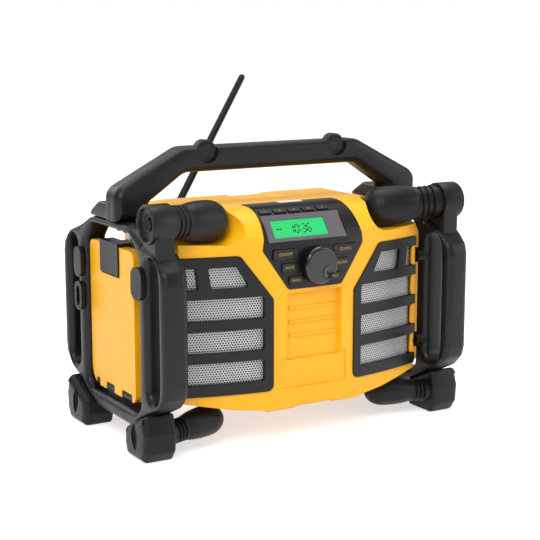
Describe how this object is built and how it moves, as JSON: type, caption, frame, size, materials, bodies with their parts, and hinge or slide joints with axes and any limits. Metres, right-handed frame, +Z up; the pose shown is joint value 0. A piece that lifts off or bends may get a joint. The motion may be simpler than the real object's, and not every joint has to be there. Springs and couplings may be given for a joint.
{
  "type": "jobsite radio",
  "caption": "Jobsite radio: bowed body with twin speakers and a control panel, held between roll cage side frames with ribbed bumpers, a carrying handle and a folding aerial.",
  "frame": {"origin": "on the ground under the middle of the radio's overall width and depth", "axes": "+X to the right seen from the front, -Y out of the front with the speakers and controls, +Z up"},
  "size_m": [0.472, 0.307, 0.4511],
  "materials": {
    "yellow_abs": "moulded ABS, fine satin grain",
    "black_abs": "moulded ABS, fine texture",
    "gloss_black_abs": "moulded ABS, polished",
    "grey_pc": "moulded polycarbonate, satin",
    "display_window": "clear acrylic over a green display, polished",
    "board": "printed circuit board, satin",
    "silver_foil": "silver painted foil",
    "key_rubber": "moulded silicone, matt",
    "black_rubber": "moulded rubber, matt",
    "silver_mesh": "silver painted steel mesh",
    "basket_steel": "pressed steel, painted",
    "cone_paper": "pressed paper, matt",
    "zinc_steel": "zinc plated steel",
    "black_steel": "steel with a black oxide coat",
    "cast_aluminium": "cast, bare"
  },
  "bodies": {
    "radio": {"front_housing": "yellow_abs", "rear_housing": "yellow_abs", "housing_screws": "zinc_steel", "control_panel": "black_abs", "lcd_bezel": "grey_pc", "lcd_lens": "display_window", "lcd_module": "board", "panel_label": "silver_foil", "panel_board": "board", "knob_encoder": "black_abs", "grille_frame_left": "black_abs", "grille_frame_right": "black_abs", "speaker_mesh_left": "silver_mesh", "speaker_mesh_right": "silver_mesh", "speaker_basket_left": "basket_steel", "speaker_basket_right": "basket_steel", "speaker_cone_left": "cone_paper", "speaker_cone_right": "cone_paper", "side_frame_left": "black_abs", "side_frame_right": "black_abs", "frame_screws": "black_steel", "frame_pads": "black_rubber", "handle_front": "black_abs", "handle_rear": "black_abs", "handle_bolts": "black_steel", "storage_tub": "black_abs", "battery_bay": "black_abs", "battery_pack": "black_abs", "power_supply": "cast_aluminium", "mains_inlet": "black_abs", "bumper_front_left": "black_rubber", "low_bumper_front_left": "black_rubber", "foot_front_left": "black_rubber", "bumper_front_right": "black_rubber", "low_bumper_front_right": "black_rubber", "foot_front_right": "black_rubber", "low_bumper_rear_left": "black_rubber", "foot_rear_left": "black_rubber", "low_bumper_rear_right": "black_rubber", "foot_rear_right": "black_rubber"},
    "knob": {"tuning_knob": "gloss_black_abs", "knob_shaft": "zinc_steel"},
    "storage_door": {"storage_door": "yellow_abs"},
    "storage_latch": {"storage_latch": "black_abs"},
    "battery_door": {"battery_door": "yellow_abs"},
    "battery_latch": {"battery_latch": "black_abs"},
    "aerial": {"aerial_whip": "black_rubber"},
    "preset_key_1": {"preset_key_1": "key_rubber"},
    "preset_key_2": {"preset_key_2": "key_rubber"},
    "preset_key_3": {"preset_key_3": "key_rubber"},
    "preset_key_4": {"preset_key_4": "key_rubber"},
    "preset_key_5": {"preset_key_5": "key_rubber"},
    "key_left_upper": {"key_left_upper": "key_rubber"},
    "key_left_middle": {"key_left_middle": "key_rubber"},
    "key_left_lower": {"key_left_lower": "key_rubber"},
    "key_right_upper": {"key_right_upper": "key_rubber"},
    "key_right_middle": {"key_right_middle": "key_rubber"},
    "key_right_lower": {"key_right_lower": "key_rubber"}
  },
  "joints": [
    {"name": "knob_turn", "type": "hinge", "parent": "radio", "child": "knob", "pos_m": [0, -0.13, 0.226], "axis": [0, -1, 0], "continuous": true},
    {"name": "preset_key_1_press", "type": "slide", "parent": "radio", "child": "preset_key_1", "axis": [0, 0.454, -0.891], "range_m": [0, 0.0012], "stiffness_N_per_m": 400, "springref_m": -0.0006},
    {"name": "preset_key_2_press", "type": "slide", "parent": "radio", "child": "preset_key_2", "axis": [0, 0.454, -0.891], "range_m": [0, 0.0012], "stiffness_N_per_m": 400, "springref_m": -0.0006},
    {"name": "preset_key_3_press", "type": "slide", "parent": "radio", "child": "preset_key_3", "axis": [0, 0.454, -0.891], "range_m": [0, 0.0012], "stiffness_N_per_m": 400, "springref_m": -0.0006},
    {"name": "preset_key_4_press", "type": "slide", "parent": "radio", "child": "preset_key_4", "axis": [0, 0.454, -0.891], "range_m": [0, 0.0012], "stiffness_N_per_m": 400, "springref_m": -0.0006},
    {"name": "preset_key_5_press", "type": "slide", "parent": "radio", "child": "preset_key_5", "axis": [0, 0.454, -0.891], "range_m": [0, 0.0012], "stiffness_N_per_m": 400, "springref_m": -0.0006},
    {"name": "key_left_upper_press", "type": "slide", "parent": "radio", "child": "key_left_upper", "axis": [0, 1, 0], "range_m": [0, 0.0012], "stiffness_N_per_m": 400, "springref_m": -0.0006},
    {"name": "key_left_middle_press", "type": "slide", "parent": "radio", "child": "key_left_middle", "axis": [0, 1, 0], "range_m": [0, 0.0012], "stiffness_N_per_m": 400, "springref_m": -0.0006},
    {"name": "key_left_lower_press", "type": "slide", "parent": "radio", "child": "key_left_lower", "axis": [0, 1, 0], "range_m": [0, 0.0012], "stiffness_N_per_m": 400, "springref_m": -0.0006},
    {"name": "key_right_upper_press", "type": "slide", "parent": "radio", "child": "key_right_upper", "axis": [0, 1, 0], "range_m": [0, 0.0012], "stiffness_N_per_m": 400, "springref_m": -0.0006},
    {"name": "key_right_middle_press", "type": "slide", "parent": "radio", "child": "key_right_middle", "axis": [0, 1, 0], "range_m": [0, 0.0012], "stiffness_N_per_m": 400, "springref_m": -0.0006},
    {"name": "key_right_lower_press", "type": "slide", "parent": "radio", "child": "key_right_lower", "axis": [0, 1, 0], "range_m": [0, 0.0012], "stiffness_N_per_m": 400, "springref_m": -0.0006},
    {"name": "storage_door_hinge", "type": "hinge", "parent": "radio", "child": "storage_door", "pos_m": [-0.211, 0, 0.061], "axis": [0, -1, 0], "range_deg": [0, 85]},
    {"name": "storage_latch_hinge", "type": "hinge", "parent": "storage_door", "child": "storage_latch", "pos_m": [-0.2128, 0, 0.2165], "axis": [0, -1, 0], "range_deg": [0, 70]},
    {"name": "battery_door_hinge", "type": "hinge", "parent": "radio", "child": "battery_door", "pos_m": [0.211, 0, 0.061], "axis": [0, 1, 0], "range_deg": [0, 85]},
    {"name": "battery_latch_hinge", "type": "hinge", "parent": "battery_door", "child": "battery_latch", "pos_m": [0.2128, 0, 0.2165], "axis": [0, 1, 0], "range_deg": [0, 70]},
    {"name": "aerial_swing", "type": "hinge", "parent": "radio", "child": "aerial", "pos_m": [-0.078, 0.1266, 0.25], "axis": [0, 1, 0], "range_deg": [-60, 59]}
  ]
}
